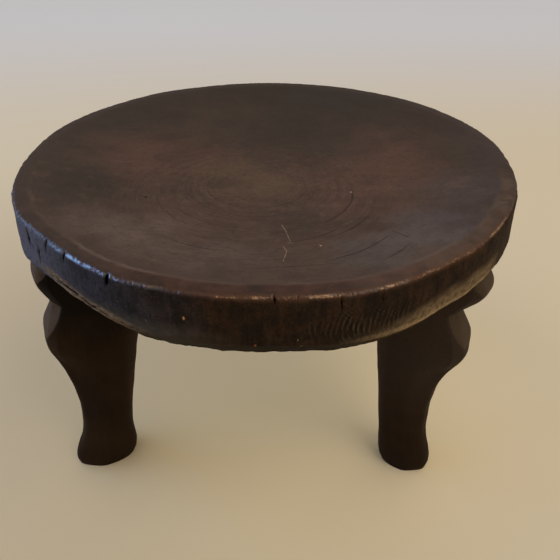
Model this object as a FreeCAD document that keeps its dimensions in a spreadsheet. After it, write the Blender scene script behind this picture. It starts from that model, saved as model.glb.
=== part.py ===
import FreeCAD, Part
import os

import Sketcher

# Driving sizes, in millimetres and degrees: alias, value, what it is
SIZES = (
    ("seat_radius", 150, "outer radius of the seat"),
    ("stool_height", 197, "floor to rim"),
    ("rim_width", 9, "flat band between the dish and the outer edge"),
    ("rim_round", 3, "worn edge between the rim band and the wall"),
    ("dish_depth", 15, "rim down to the middle of the dish"),
    ("wall_height", 28, "upright wall of the seat, rim down to the lip"),
    ("lip_height", 10, "height of the drawn-in lower lip"),
    ("lip_inset", 8, "how far the lip draws in"),
    ("leg_angle", 120, "turn from one leg to the next"),
    ("leg_thickness", 29, "leg from side to side at the seat"),
    ("foot_thickness", 23, "leg from side to side at the floor"),
    ("root_inset", 64, "inner edge of a leg at the seat, in from the seat's edge"),
    ("knob_height_share", 0.94, "knob's corner, as a share of the leg's height"),
    ("knob_inset", 1, "knob's corner, in from the seat's edge"),
    ("knob_lean", 3, "how far the knob's face leans out on its way down"),
    ("notch_height_share", 0.845, "notch, as a share of the leg's height"),
    ("notch_depth", 9, "notch in from the knee's lower corner"),
    ("knee_top_share", 0.75, "knee's upper corner, as a share of the leg's height"),
    ("knee_bottom_share", 0.645, "knee's lower corner, as a share of the leg's height"),
    ("knee_lean", 1.5, "how far the knee's face leans out on its way down"),
    ("corner_round", 6, "rounding of the knob and of the knee"),
    ("notch_round", 2, "hollow bend in the notch"),
    ("sweep_height_share", 0.44, "foot of the sweep, as a share of the leg's height"),
    ("sweep_round", 50, "hollow bend between the sweep and the shank"),
    ("shank_width", 30, "shank from its outer to its inner edge"),
    ("ankle_height_share", 0.175, "ankle, as a share of the leg's height"),
    ("ankle_round", 16, "hollow bend above the foot"),
    ("toe_height_share", 0.04, "widest point of the foot, as a share of the leg's height"),
    ("toe_round", 5, "rounding of the foot's widest point"),
    ("sole_inset", 2, "sole in from the widest point of the foot"),
    ("heel_flare", 1, "how far the foot swells inwards"),
    ("edge_facet", 3, "facet along the long edges of a leg"),
    ("left_knee_inset", 0.5, "left knee's lower corner, in from the seat's edge"),
    ("left_ankle_inset", 13, "outer edge of the left shank, in from the seat's edge"),
    ("left_foot_flare", 9, "how far the left foot swells outwards"),
    ("right_knee_inset", 9, "right knee's lower corner, in from the seat's edge"),
    ("right_ankle_inset", 27, "outer edge of the right shank, in from the seat's edge"),
    ("right_foot_flare", 4, "how far the right foot swells outwards"),
    ("back_knee_inset", 4, "back knee's lower corner, in from the seat's edge"),
    ("back_ankle_inset", 20, "outer edge of the back shank, in from the seat's edge"),
    ("back_foot_flare", 6, "how far the back foot swells outwards"),
    ("tenon_radius", 9, "stub tenon on top of a leg"),
    ("tenon_length", 12, "stub tenon above the leg's shoulder"),
    ("fit_clearance", 0.3, "gap all round a tenon in its mortise"),
)

# Places worked out from the driving sizes
UNDERSIDE = "(sizes.stool_height - sizes.wall_height - sizes.lip_height)"
LIP_RADIUS = "(sizes.seat_radius - sizes.lip_inset)"
LIP_TOP = "(sizes.stool_height - sizes.wall_height)"
ROOT_RADIUS = "(sizes.seat_radius - sizes.root_inset)"
KNOB_RADIUS = "(sizes.seat_radius - sizes.knob_inset)"
TENON_PLACE = "((%s + %s) / 2)" % (KNOB_RADIUS, ROOT_RADIUS)
ZERO = "0"

# The legs: name, turns of the leg angle from the back leg
LEGS = (("back", 0), ("left", 1), ("right", 2))

# How a sketch numbers its own axes and the ends of a side
SKETCH_ORIGIN = (-1, 1)
AXIS_ACROSS = -1
AXIS_UP = -2
START = 1
END = 2
CENTRE = 3

MATCH = 0.01
FULL_TURN = 360
QUARTER_TURN = 90
UPRIGHT = FreeCAD.Vector(0, 0, 1)


def make_sheet(doc):
    """The sheet that holds every driving size under its own name."""
    sheet = doc.addObject("Spreadsheet::Sheet", "sizes")
    for row, (alias, value, note) in enumerate(SIZES, start=1):
        sheet.set("A%d" % row, alias)
        sheet.set("B%d" % row, str(value))
        sheet.set("C%d" % row, note)
        sheet.setAlias("B%d" % row, alias)
    doc.recompute()
    return sheet


def make_body(doc, name):
    """An empty sub-part whose label names its file."""
    body = doc.addObject("PartDesign::Body", name)
    body.Label = name
    return body


def plane_of(body, role):
    """One of the body's own origin planes or axes."""
    for feature in body.Origin.OriginFeatures:
        if feature.Role == role:
            return feature
    raise ValueError("no origin feature " + role)


def make_sketch(body, name, role, height=ZERO, angle=ZERO):
    """A sketch on one of the body's origin planes, lifted above it and turned on it."""
    sketch = body.newObject("Sketcher::SketchObject", name)
    sketch.AttachmentSupport = [(plane_of(body, role), "")]
    sketch.MapMode = "FlatFace"
    if height != ZERO:
        sketch.setExpression("AttachmentOffset.Base.z", height)
    if angle != ZERO:
        sketch.setExpression("AttachmentOffset.Rotation.Angle", angle)
    return sketch


def hold_point(sketch, side, end, across, up):
    """Tie one point of the sketch to its two formulas."""
    for kind, formula, axis in (("DistanceX", across, AXIS_UP), ("DistanceY", up, AXIS_ACROSS)):
        if formula == ZERO:
            sketch.addConstraint(Sketcher.Constraint("PointOnObject", side, end, axis))
            continue
        size = sketch.evalExpression(formula)
        number = sketch.addConstraint(Sketcher.Constraint(kind, *SKETCH_ORIGIN, side, end, size))
        sketch.setExpression("Constraints[%d]" % number, formula)


def place_of(sketch, across, up):
    """The point that two formulas give."""
    return FreeCAD.Vector(sketch.evalExpression(across), sketch.evalExpression(up), 0)


def draw_outline(sketch, corners):
    """Straight sides through the corners, closed back to the first."""
    places = [place_of(sketch, across, up) for across, up in corners]
    for number, place in enumerate(places):
        sketch.addGeometry(Part.LineSegment(place, places[(number + 1) % len(places)]))
    for number in range(len(corners)):
        following = (number + 1) % len(corners)
        sketch.addConstraint(Sketcher.Constraint("Coincident", number, END, following, START))
    for number, (across, up) in enumerate(corners):
        hold_point(sketch, number, START, across, up)


def draw_circle(sketch, across, up, radius):
    """A circle about a point held by formulas."""
    size = sketch.evalExpression(radius)
    side = sketch.addGeometry(Part.Circle(place_of(sketch, across, up), UPRIGHT, size))
    hold_point(sketch, side, CENTRE, across, up)
    number = sketch.addConstraint(Sketcher.Constraint("Radius", side, size))
    sketch.setExpression("Constraints[%d]" % number, radius)


def edges_at(feature, across, up):
    """Names of the edges that run from side to side at one corner of the outline."""
    corner = place_of(feature, across, up)
    found = []
    for number, edge in enumerate(feature.Shape.Edges, start=1):
        across_gaps = [abs(vertex.X - corner.x) for vertex in edge.Vertexes]
        up_gaps = [abs(vertex.Z - corner.y) for vertex in edge.Vertexes]
        if max(across_gaps + up_gaps) < MATCH:
            found.append("Edge%d" % number)
    return found


def round_edges(body, name, base, edges, radius):
    """Round the named edges of a feature."""
    if not edges:
        raise ValueError("no edges to round for " + name)
    fillet = body.newObject("PartDesign::Fillet", name)
    fillet.Base = (base, edges)
    fillet.setExpression("Radius", radius)
    body.Document.recompute()
    return fillet


def check_cut(before, after):
    """A cut has to take wood away and leave a sound solid."""
    if not after.Shape.isValid():
        raise ValueError(after.Name + " spoils the solid")
    if not 0 < after.Shape.Volume < before.Shape.Volume:
        raise ValueError(after.Name + " cuts nothing or everything")


def leg_turn(turns):
    """Angle of a leg about the seat's axis, counted from the back leg."""
    return "(%d * sizes.leg_angle + %d)" % (turns, QUARTER_TURN)


def level(name):
    """Height of a place on the leg, from its share of the leg's height."""
    return "(%s * sizes.%s_share)" % (UNDERSIDE, name)


def draw_seat_section(sketch):
    """Half section of the seat: flat underside, lip, wall, rim band and round dish."""
    dish_radius = "(sizes.seat_radius - sizes.rim_width)"
    dish_bottom = "(sizes.stool_height - sizes.dish_depth)"
    corners = (
        (ZERO, dish_bottom),
        (ZERO, UNDERSIDE),
        (LIP_RADIUS, UNDERSIDE),
        ("sizes.seat_radius", LIP_TOP),
        ("sizes.seat_radius", "sizes.stool_height"),
        (dish_radius, "sizes.stool_height"),
    )
    places = [place_of(sketch, across, up) for across, up in corners]
    for number in range(len(places) - 1):
        sketch.addGeometry(Part.LineSegment(places[number], places[number + 1]))
        if number:
            sketch.addConstraint(Sketcher.Constraint("Coincident", number - 1, END, number, START))
    for number, (across, up) in enumerate(corners[:-1]):
        hold_point(sketch, number, START, across, up)
    last_side = len(places) - 2
    hold_point(sketch, last_side, END, *corners[-1])
    draw_dish(sketch, places[0], places[-1], last_side)


def draw_dish(sketch, middle, edge, last_side):
    """Arc of the dish from its middle to the rim band, centred on the seat's axis."""
    depth = edge.y - middle.y
    radius = (edge.x ** 2 + depth ** 2) / (2 * depth)
    centre = FreeCAD.Vector(0, middle.y + radius, 0)
    circle = Part.Circle(centre, UPRIGHT, radius)
    arc = Part.ArcOfCircle(circle, circle.parameter(middle), circle.parameter(edge))
    side = sketch.addGeometry(arc)
    sketch.addConstraint(Sketcher.Constraint("Coincident", side, START, 0, START))
    sketch.addConstraint(Sketcher.Constraint("Coincident", side, END, last_side, END))
    sketch.addConstraint(Sketcher.Constraint("PointOnObject", side, CENTRE, AXIS_UP))


def rim_edges(doc, disc):
    """Names of the edges where the seat's wall meets the rim band."""
    found = []
    for number, edge in enumerate(disc.Shape.Edges, start=1):
        on_rim = all(abs(vertex.Z - doc.sizes.stool_height) < MATCH for vertex in edge.Vertexes)
        on_wall = all(abs(vertex.X - doc.sizes.seat_radius) < MATCH for vertex in edge.Vertexes)
        if on_rim and on_wall:
            found.append("Edge%d" % number)
    return found


def cut_mortise(body, before, name, turns):
    """Blind mortise in the underside for one leg's tenon."""
    sketch = make_sketch(body, name + "_mortise_outline", "XY_Plane", UNDERSIDE, leg_turn(turns))
    draw_circle(sketch, TENON_PLACE, ZERO, "sizes.tenon_radius + sizes.fit_clearance")
    mortise = body.newObject("PartDesign::Pocket", name + "_mortise")
    mortise.Profile = sketch
    mortise.Reversed = True
    mortise.setExpression("Length", "sizes.tenon_length + sizes.fit_clearance")
    body.Document.recompute()
    check_cut(before, mortise)
    return mortise


def make_seat(doc):
    """Dished round seat with a blind mortise in its underside for each leg."""
    body = make_body(doc, "seat")
    sketch = make_sketch(body, "seat_section", "XZ_Plane")
    draw_seat_section(sketch)
    disc = body.newObject("PartDesign::Revolution", "disc")
    disc.Profile = sketch
    disc.ReferenceAxis = (sketch, ["V_Axis"])
    disc.Angle = FULL_TURN
    doc.recompute()
    shaped = round_edges(body, "worn_rim", disc, rim_edges(doc, disc), "sizes.rim_round")
    for name, turns in LEGS:
        shaped = cut_mortise(body, shaped, name, turns)
    return body


def leg_corners(name):
    """Corners of a leg seen from its side, down the outer edge and up the inner one."""
    knee_radius = "(sizes.seat_radius - sizes.%s_knee_inset)" % name
    ankle_radius = "(sizes.seat_radius - sizes.%s_ankle_inset)" % name
    toe_radius = "(%s + sizes.%s_foot_flare)" % (ankle_radius, name)
    shank_inner = "(%s - sizes.shank_width)" % ankle_radius
    heel_radius = "(%s - sizes.heel_flare)" % shank_inner
    return {
        "knob_top": ("(%s - sizes.knob_lean)" % KNOB_RADIUS, LIP_TOP),
        "knob": (KNOB_RADIUS, level("knob_height")),
        "notch": ("(%s - sizes.notch_depth)" % knee_radius, level("notch_height")),
        "knee_top": ("(%s - sizes.knee_lean)" % knee_radius, level("knee_top")),
        "knee_bottom": (knee_radius, level("knee_bottom")),
        "sweep": (ankle_radius, level("sweep_height")),
        "ankle": (ankle_radius, level("ankle_height")),
        "toe": (toe_radius, level("toe_height")),
        "sole_outer": ("(%s - sizes.sole_inset)" % toe_radius, ZERO),
        "sole_inner": ("(%s + sizes.sole_inset)" % heel_radius, ZERO),
        "heel": (heel_radius, level("toe_height")),
        "inner_ankle": (shank_inner, level("ankle_height")),
        "root": (ROOT_RADIUS, UNDERSIDE),
        "root_top": (ROOT_RADIUS, LIP_TOP),
    }


def taper_sides(body, name, blank):
    """Thin the leg from the seat to the floor, alike on both sides."""
    sketch = make_sketch(body, name + "_taper_outline", "YZ_Plane")
    draw_outline(sketch, (
        ("sizes.leg_thickness / 2", LIP_TOP),
        ("sizes.foot_thickness / 2", ZERO),
        ("sizes.leg_thickness / 2", ZERO),
    ))
    taper = body.newObject("PartDesign::Pocket", name + "_taper")
    taper.Profile = sketch
    taper.Type = "ThroughAll"
    taper.Reversed = True
    body.Document.recompute()
    check_cut(blank, taper)
    both = body.newObject("PartDesign::Mirrored", name + "_tapers")
    both.Originals = [taper]
    both.MirrorPlane = (plane_of(body, "XZ_Plane"), [""])
    body.Tip = both
    body.Document.recompute()
    check_cut(taper, both)
    return both


def round_corners(body, name, corners, shaped):
    """Round the corners of the leg's side view, one size at a time."""
    bends = (
        ("corners", ("knob", "knee_top", "knee_bottom"), "sizes.corner_round"),
        ("notch", ("notch",), "sizes.notch_round"),
        ("sweep", ("sweep",), "sizes.sweep_round"),
        ("ankle", ("ankle", "inner_ankle"), "sizes.ankle_round"),
        ("foot", ("toe", "heel"), "sizes.toe_round"),
    )
    for bend, places, radius in bends:
        edges = []
        for place in places:
            edges += edges_at(shaped, *corners[place])
        shaped = round_edges(body, "%s_%s_round" % (name, bend), shaped, edges, radius)
    return shaped


def long_edges(feature):
    """Names of the edges down both sides of a leg, without those round its two ends."""
    box = feature.Shape.BoundBox
    found = []
    for number, edge in enumerate(feature.Shape.Edges, start=1):
        middle = edge.valueAt((edge.FirstParameter + edge.LastParameter) / 2)
        on_sole = edge.BoundBox.ZMax < box.ZMin + MATCH
        on_top = edge.BoundBox.ZMin > box.ZMax - MATCH
        if abs(middle.y) > MATCH and not on_sole and not on_top:
            found.append("Edge%d" % number)
    return found


def cope_to_seat(body, name, before):
    """Cut the top of the leg to the flat underside and the sloping lip of the seat."""
    sketch = make_sketch(body, name + "_seat_outline", "XZ_Plane")
    draw_outline(sketch, (
        (ZERO, UNDERSIDE),
        (LIP_RADIUS, UNDERSIDE),
        ("sizes.seat_radius", LIP_TOP),
        ("sizes.seat_radius", "sizes.stool_height"),
        (ZERO, "sizes.stool_height"),
    ))
    cope = body.newObject("PartDesign::Groove", name + "_cope")
    cope.Profile = sketch
    cope.ReferenceAxis = (sketch, ["V_Axis"])
    cope.Angle = FULL_TURN
    body.Document.recompute()
    check_cut(before, cope)


def make_leg(doc, name, turns):
    """One leg: knob, notch, knee, hollow sweep, shank and foot, with a stub tenon on top."""
    body = make_body(doc, "leg_" + name)
    corners = leg_corners(name)
    sketch = make_sketch(body, name + "_side", "XZ_Plane")
    draw_outline(sketch, tuple(corners.values()))
    plank = body.newObject("PartDesign::Pad", name + "_plank")
    plank.Profile = sketch
    plank.SideType = "Symmetric"
    plank.setExpression("Length", "sizes.leg_thickness")
    doc.recompute()

    shaped = taper_sides(body, name, plank)
    shaped = round_corners(body, name, corners, shaped)
    facets = body.newObject("PartDesign::Chamfer", name + "_facets")
    facets.Base = (shaped, long_edges(shaped))
    facets.setExpression("Size", "sizes.edge_facet")
    doc.recompute()
    check_cut(shaped, facets)
    cope_to_seat(body, name, facets)

    tenon_sketch = make_sketch(body, name + "_tenon_outline", "XY_Plane", UNDERSIDE)
    draw_circle(tenon_sketch, TENON_PLACE, ZERO, "sizes.tenon_radius")
    tenon = body.newObject("PartDesign::Pad", name + "_tenon")
    tenon.Profile = tenon_sketch
    tenon.setExpression("Length", "sizes.tenon_length")
    body.Placement.Rotation = FreeCAD.Rotation(UPRIGHT, 0)
    body.setExpression("Placement.Rotation.Angle", leg_turn(turns))
    doc.recompute()
    return body


def check_model(doc, bodies):
    """Stop if an object failed or a sub-part has no sound solid."""
    for thing in doc.Objects:
        if "Invalid" in thing.State or "Error" in thing.State:
            raise ValueError(thing.Name + " has failed")
    for body in bodies:
        if body.Shape.isNull() or not body.Shape.isValid():
            raise ValueError(body.Label + " has no sound shape")
        if len(body.Shape.Solids) != 1:
            raise ValueError(body.Label + " is not one solid")


def write_parts(bodies):
    """One file for each sub-part, named by its label."""
    os.makedirs("parts", exist_ok=True)
    for body in bodies:
        body.Shape.exportStep("parts/%s.step" % body.Label)


def main():
    doc = FreeCAD.newDocument("carved_stool")
    make_sheet(doc)
    bodies = [make_seat(doc)]
    for name, turns in LEGS:
        bodies.append(make_leg(doc, name, turns))
    check_model(doc, bodies)
    write_parts(bodies)
    for body in bodies:
        print(body.Label, "volume", round(body.Shape.Volume))


main()
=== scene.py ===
import math

import bmesh
import bpy
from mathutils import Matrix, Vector, noise


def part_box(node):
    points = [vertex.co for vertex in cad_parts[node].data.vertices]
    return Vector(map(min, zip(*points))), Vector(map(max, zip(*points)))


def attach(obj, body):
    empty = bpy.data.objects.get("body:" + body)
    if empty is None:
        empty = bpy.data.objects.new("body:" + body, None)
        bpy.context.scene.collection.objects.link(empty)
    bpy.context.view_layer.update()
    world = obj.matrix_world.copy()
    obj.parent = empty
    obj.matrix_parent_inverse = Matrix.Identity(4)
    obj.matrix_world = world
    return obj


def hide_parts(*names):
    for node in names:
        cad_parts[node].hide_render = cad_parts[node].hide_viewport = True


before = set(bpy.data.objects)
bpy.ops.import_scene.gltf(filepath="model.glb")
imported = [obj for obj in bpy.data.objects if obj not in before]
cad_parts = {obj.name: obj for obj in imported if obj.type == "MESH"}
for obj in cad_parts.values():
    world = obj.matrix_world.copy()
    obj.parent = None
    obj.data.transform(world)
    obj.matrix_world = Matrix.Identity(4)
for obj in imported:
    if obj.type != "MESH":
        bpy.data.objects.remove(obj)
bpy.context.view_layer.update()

# Units and the sizes that the frame gives, in millimetres
MM = 0.001
SEAT_LOW, SEAT_HIGH = (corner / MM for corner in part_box("seat"))
RIM_TOP = SEAT_HIGH.z
UNDERSIDE = SEAT_LOW.z
SEAT_RADIUS = min(SEAT_HIGH.x, SEAT_HIGH.y, -SEAT_LOW.x, -SEAT_LOW.y)

# Section of the seat
RIM_WIDTH = 9.0
RIM_ROUND = 3.0
DISH_DEPTH = 15.0
DISH_EDGE = SEAT_RADIUS - RIM_WIDTH
DISH_SPHERE = (DISH_EDGE ** 2 + DISH_DEPTH ** 2) / (2 * DISH_DEPTH)
LIP_HEIGHT = 10.0
LIP_INSET = 8.0
WALL_FOOT = UNDERSIDE + LIP_HEIGHT
WALL_MIDDLE = (WALL_FOOT + RIM_TOP) / 2

# How finely the seat is divided: rings along the section, steps round it, and extra cuts near the edge
DISH_CUTS = 35
RIM_CUTS = 5
ROUND_CUTS = 5
WALL_CUTS = 16
LIP_CUTS = 14
UNDERSIDE_CUTS = 11
SEAT_STEPS = 440
EDGE_CUTS = 3
EDGE_FROM = DISH_EDGE - 0.5
MERGE = 0.01

# Where one kind of carving gives way to the next: radii or heights between which it comes in
TOP_FADE = (UNDERSIDE + 12, UNDERSIDE + 16)
DISH_FADE = (DISH_EDGE - 6, DISH_EDGE + 1)
SIDE_FADE = (DISH_EDGE - 4, DISH_EDGE)
EDGE_FADE = (RIM_TOP - 2, RIM_TOP)
UNDER_FADE = (UNDERSIDE + 0.1, UNDERSIDE + 2)
LOW_FADE = (WALL_FOOT - 2, WALL_MIDDLE + 6)
UNDER_EDGE_FADE = (SEAT_RADIUS * 0.6, SEAT_RADIUS * 0.95)
SCOOP_FADE = (WALL_FOOT - 3, WALL_FOOT + 14)
CHECK_FADE = (DISH_EDGE + 5, SEAT_RADIUS - 1)
RING_FADE = (DISH_EDGE + 3, SEAT_RADIUS - 3)

# Noise of the carving: height and size in millimetres, and a seed
OUTLINE_SWAY = ((0.5, 60, 3.1),)
LIP_WAVES = ((0.7, 22, 5.3), (0.5, 6, 2.3))
DROOP_WAVES = ((0.4, 45, 8.8),)
DISH_WAVES = ((0.5, 55, 1.3), (0.14, 14, 2.1))
WALL_WAVES = ((0.4, 16, 4.2), (0.2, 5, 3.7))
WALL_GRAIN = ((0.2, 2.2, 6.4),)
UNDER_WAVES = ((0.7, 20, 7.7), (0.2, 6, 9.9))
# How much slower the grain changes upwards than sideways
WALL_GRAIN_STRETCH = 0.15

# Uneven outline of the hand-cut seat: angle in degrees, half width in degrees, millimetres outwards
RIM_SWELLS = (
    (228, 20, -2.2), (212, 7, 0.7), (293, 20, 2.8), (262, 14, -0.6),
    (157, 20, 2), (128, 32, 2.4), (48, 34, 2.2), (20, 18, 1.4),
)
RIM_DROOP = 0.4
# How quickly the uneven outline dies away towards the middle
REACH_POWER = 5
# The seat never reaches past this, so that it stays inside its box
RIM_LIMIT = 149.8
# Lower edge of the wall: angle, half width, millimetres upwards
LIP_RISES = ((226, 30, 3.6), (256, 18, -0.8), (312, 40, -1.2), (95, 40, 0.8), (20, 30, -0.8))
# Where the foot of the wall is pared away: angle, half width, millimetres inwards
LIP_SCOOPS = ((316, 26, 2),)

# Flat that use has worn on the rim's outer edge at the front left: middle and half width in degrees
WORN_FLAT = (234, 22)
WORN_FLAT_DEPTH = 0.45
# Wear and chips of the whole edge: how near it they come in, an even part, and depth, size, seed, share
WEAR_FADE = (0.6, 3.6)
WEAR_DEPTH = 0.1
EDGE_CHIPS = ((0.5, 6, 12.4, 0.1), (0.9, 1.7, 15.1, -0.05))

# Splits in the lower edge at the left: angle, height, half length in degrees, half height, depth
LIP_SPLITS = ((231.5, 171.8, 6.5, 1.1, 2.8), (239.5, 169.8, 5.5, 1, 2.4), (247.5, 168.2, 5, 0.8, 1.6))
SPLIT_SLOPE = 0.12
SPLIT_WAVES = ((0.7, 4, 6.9),)

# Drying checks in the wall: angle, height of the top and bottom, half width, depth
CHECKS = (
    (225.4, 197, 188, 1.2, 2.6), (217.2, 195, 182, 1.4, 2.4), (221.4, 189, 175, 1.3, 2.6),
    (232, 197, 190, 1.2, 2), (244.3, 197, 190, 1.5, 2.6), (287, 198, 185, 0.7, 1),
    (294.5, 196, 186, 0.6, 0.8), (275.5, 198, 192, 1, 1.1), (279.5, 198, 194, 0.8, 0.7),
    (301.5, 193, 182, 0.6, 0.5), (12, 197, 184, 1.2, 2), (37, 190, 173, 1.1, 1.6),
    (71, 197, 186, 1.3, 2.2), (104, 194, 178, 1, 1.5), (131, 197, 188, 1.3, 2.2),
    (158, 191, 172, 1.1, 1.8), (183, 197, 187, 1.2, 2), (341, 194, 180, 1, 1.4),
)
CHECK_SWAY = 0.25
CHECK_SWAY_PITCH = 0.9
CHECK_TAIL = 1.15

# Growth rings: the pith, and how far the ring centres move away from it towards the front
PITH = (-5, 1)
RING_DRIFT = 0.35
DISH_RING_HEIGHT = 0.06
DISH_RING_PITCH = 1.6
# Raised growth rings on the wall at the front right: middle angle and height, half width and half height
WALL_RINGS = (291.5, 179.5)
WALL_RING_ZONE = (18, 14)
WALL_RING_BOW = 0.035
WALL_RING_SLOPE = 0.18
WALL_RING_PITCH = 2.5
WALL_RING_HEIGHT = 0.4
WALL_RING_WAVES = ((1.3, 8, 17.2), (0.5, 3, 5.2))
WALL_RING_EDGE = ((4, 12, 9.4),)
WALL_RING_SHARE = 0.7
WALL_RING_BREAKS = ((0.9, 4, 3.6),)


def ease(value, low, high):
    """0 below the low value, 1 above the high one, smooth between."""
    t = min(max((value - low) / (high - low), 0), 1)
    return t * t * (3 - 2 * t)


def bell(offset, half_width):
    """1 in the middle, falling smoothly to 0 at the half width."""
    t = min(abs(offset) / half_width, 1)
    return (1 - t * t) ** 2


def angle_of(point):
    """Angle of a point about the axis in degrees, 0 to 360."""
    return math.degrees(math.atan2(point.y, point.x)) % 360


def turn_from(angle, middle):
    """Signed turn in degrees from a middle angle, at most half a circle."""
    return (angle - middle + 180) % 360 - 180


def swell(table, angle):
    """Sum of the bumps of a table of (angle, half width, height) at an angle."""
    return sum(height * bell(turn_from(angle, middle), width) for middle, width, height in table)


def grain(point, size, seed):
    """Smooth noise of about -1 to 1 with features of a size in millimetres."""
    return noise.noise(Vector(point) / size + Vector((seed, seed * 1.7, -seed)))


def waves(table, point):
    """Sum of the noises of a table of (height, size, seed) at a point."""
    return sum(height * grain(point, size, seed) for height, size, seed in table)


def tone(red, green, blue):
    """Linear colour of a tone that is written as it is read off a colour chart, 0 to 255."""
    def linear(level):
        level /= 255
        return level / 12.92 if level <= 0.04045 else ((level + 0.055) / 1.055) ** 2.4
    return linear(red), linear(green), linear(blue), 1.0


def dish_height(radius):
    """Height of the dish's surface at a radius."""
    return RIM_TOP - DISH_DEPTH + DISH_SPHERE - math.sqrt(DISH_SPHERE ** 2 - radius ** 2)


def add_object(name, data):
    """Makes an object of a mesh, a lamp or a camera in the scene."""
    added = bpy.data.objects.new(name, data)
    bpy.context.scene.collection.objects.link(added)
    return added


def new_piece(name, bm):
    """Makes the finished object of a bmesh that was shaped in millimetres."""
    bmesh.ops.scale(bm, vec=(MM, MM, MM), verts=bm.verts)
    bmesh.ops.recalc_face_normals(bm, faces=bm.faces)
    for face in bm.faces:
        face.smooth = True
    mesh = bpy.data.meshes.new(name)
    bm.to_mesh(mesh)
    bm.free()
    return add_object(name, mesh)


def push_in(bm, depth_at):
    """Moves every vertex inwards along its normal by a depth in millimetres."""
    bm.normal_update()
    moves = [(vert, vert.normal * -depth_at(vert)) for vert in bm.verts]
    for vert, move in moves:
        vert.co += move


# Seat

def section_point(radius, height):
    """Lays a point of the straight section on the dish's arc or the rim's rounding."""
    if height > RIM_TOP - DISH_DEPTH - MM and radius < DISH_EDGE:
        return Vector((radius, 0, dish_height(radius)))
    round_middle = Vector((SEAT_RADIUS - RIM_ROUND, 0, RIM_TOP - RIM_ROUND))
    offset = Vector((radius, 0, height)) - round_middle
    if offset.x > 0 and offset.z > 0:
        return round_middle + offset.normalized() * RIM_ROUND
    return Vector((radius, 0, height))


def seat_section(bm):
    """Half section of the seat, from the dish's middle over the rim to the middle of the underside."""
    corners = (
        (0, RIM_TOP - DISH_DEPTH, DISH_CUTS),
        (DISH_EDGE, RIM_TOP, RIM_CUTS),
        (SEAT_RADIUS - RIM_ROUND, RIM_TOP, ROUND_CUTS),
        (SEAT_RADIUS, RIM_TOP - RIM_ROUND, WALL_CUTS),
        (SEAT_RADIUS, WALL_FOOT, LIP_CUTS),
        (SEAT_RADIUS - LIP_INSET, UNDERSIDE, UNDERSIDE_CUTS),
        (0, UNDERSIDE, 0),
    )
    tip = bm.verts.new((0, 0, RIM_TOP - DISH_DEPTH))
    for (_, _, cuts), (radius, height, _) in zip(corners, corners[1:]):
        start, end = tip.co.copy(), Vector((radius, 0, height))
        for share in range(1, cuts + 2):
            tip = bmesh.ops.extrude_vert_indiv(bm, verts=[tip])["verts"][0]
            tip.co = start.lerp(end, share / (cuts + 1))
    for vert in bm.verts:
        vert.co = section_point(vert.co.x, vert.co.z)


def ring_edges(bm):
    """Edges that run round the seat near its edge."""
    found = []
    for edge in bm.edges:
        first, second = (vert.co for vert in edge.verts)
        level = abs(first.z - second.z) < MM and abs(first.xy.length - second.xy.length) < MM
        if level and first.xy.length > EDGE_FROM:
            found.append(edge)
    return found


def settle_on_circle(vert):
    """Takes a vertex that was added on the straight chord between two steps out to its circle."""
    step = math.tau / SEAT_STEPS
    from_middle = (math.atan2(vert.co.y, vert.co.x) / step) % 1 - 0.5
    grow = math.cos(from_middle * step) / math.cos(step / 2)
    vert.co.x *= grow
    vert.co.y *= grow


def even_seat():
    """The even, turned form that the seat is carved from."""
    bm = bmesh.new()
    seat_section(bm)
    bmesh.ops.spin(
        bm, geom=bm.verts[:] + bm.edges[:], cent=(0, 0, 0), axis=(0, 0, 1),
        angle=math.tau, steps=SEAT_STEPS, use_merge=True,
    )
    bmesh.ops.remove_doubles(bm, verts=bm.verts, dist=MERGE)
    bmesh.ops.subdivide_edges(bm, edges=ring_edges(bm), cuts=EDGE_CUTS)
    for vert in bm.verts:
        settle_on_circle(vert)
    bmesh.ops.recalc_face_normals(bm, faces=bm.faces)
    return bm


def carve_outline(vert):
    """Moves a vertex of the even seat out, in, up or down to the uneven hand-cut outline."""
    radius, height = vert.co.xy.length, vert.co.z
    if radius < MM:
        return
    angle = angle_of(vert.co)
    direction = Vector((vert.co.x, vert.co.y, 0)) / radius
    on_edge = direction * SEAT_RADIUS
    reach = (radius / SEAT_RADIUS) ** REACH_POWER
    low = 1 - ease(height, *LOW_FADE)
    rise = swell(LIP_RISES, angle) + waves(LIP_WAVES, on_edge)
    scoop = swell(LIP_SCOOPS, angle) * (1 - ease(height, *SCOOP_FADE))
    droop = RIM_DROOP + waves(DROOP_WAVES, on_edge)
    vert.co += direction * (swell(RIM_SWELLS, angle) + waves(OUTLINE_SWAY, on_edge) - scoop) * reach
    vert.co.z += rise * low * ease(radius, *UNDER_EDGE_FADE) - droop * reach * (1 - low)


def check_depth(blank):
    """Depth of the drying checks at a place on the wall."""
    on_wall = ease(blank.xy.length, *CHECK_FADE)
    if on_wall <= 0:
        return 0.0
    angle, height = angle_of(blank), blank.z
    deepest = 0.0
    for middle, top, bottom, width, depth in CHECKS:
        lean = CHECK_SWAY * math.sin(height * CHECK_SWAY_PITCH + middle)
        across = math.radians(turn_from(angle, middle)) * SEAT_RADIUS + lean
        along = (height - (top + bottom) / 2) / ((top - bottom) / 2)
        deepest = max(deepest, depth * bell(across, width) * bell(along, CHECK_TAIL))
    return deepest * on_wall


def lip_split(blank):
    """Depth of the splits that run along the seat's lower edge at the left."""
    angle = angle_of(blank)
    deepest = 0.0
    for middle, level, half_turn, half_height, depth in LIP_SPLITS:
        turned = turn_from(angle, middle)
        drop = level - SPLIT_SLOPE * turned + waves(SPLIT_WAVES, blank)
        deepest = max(deepest, depth * bell(turned, half_turn) * bell(blank.z - drop, half_height))
    return deepest


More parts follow.
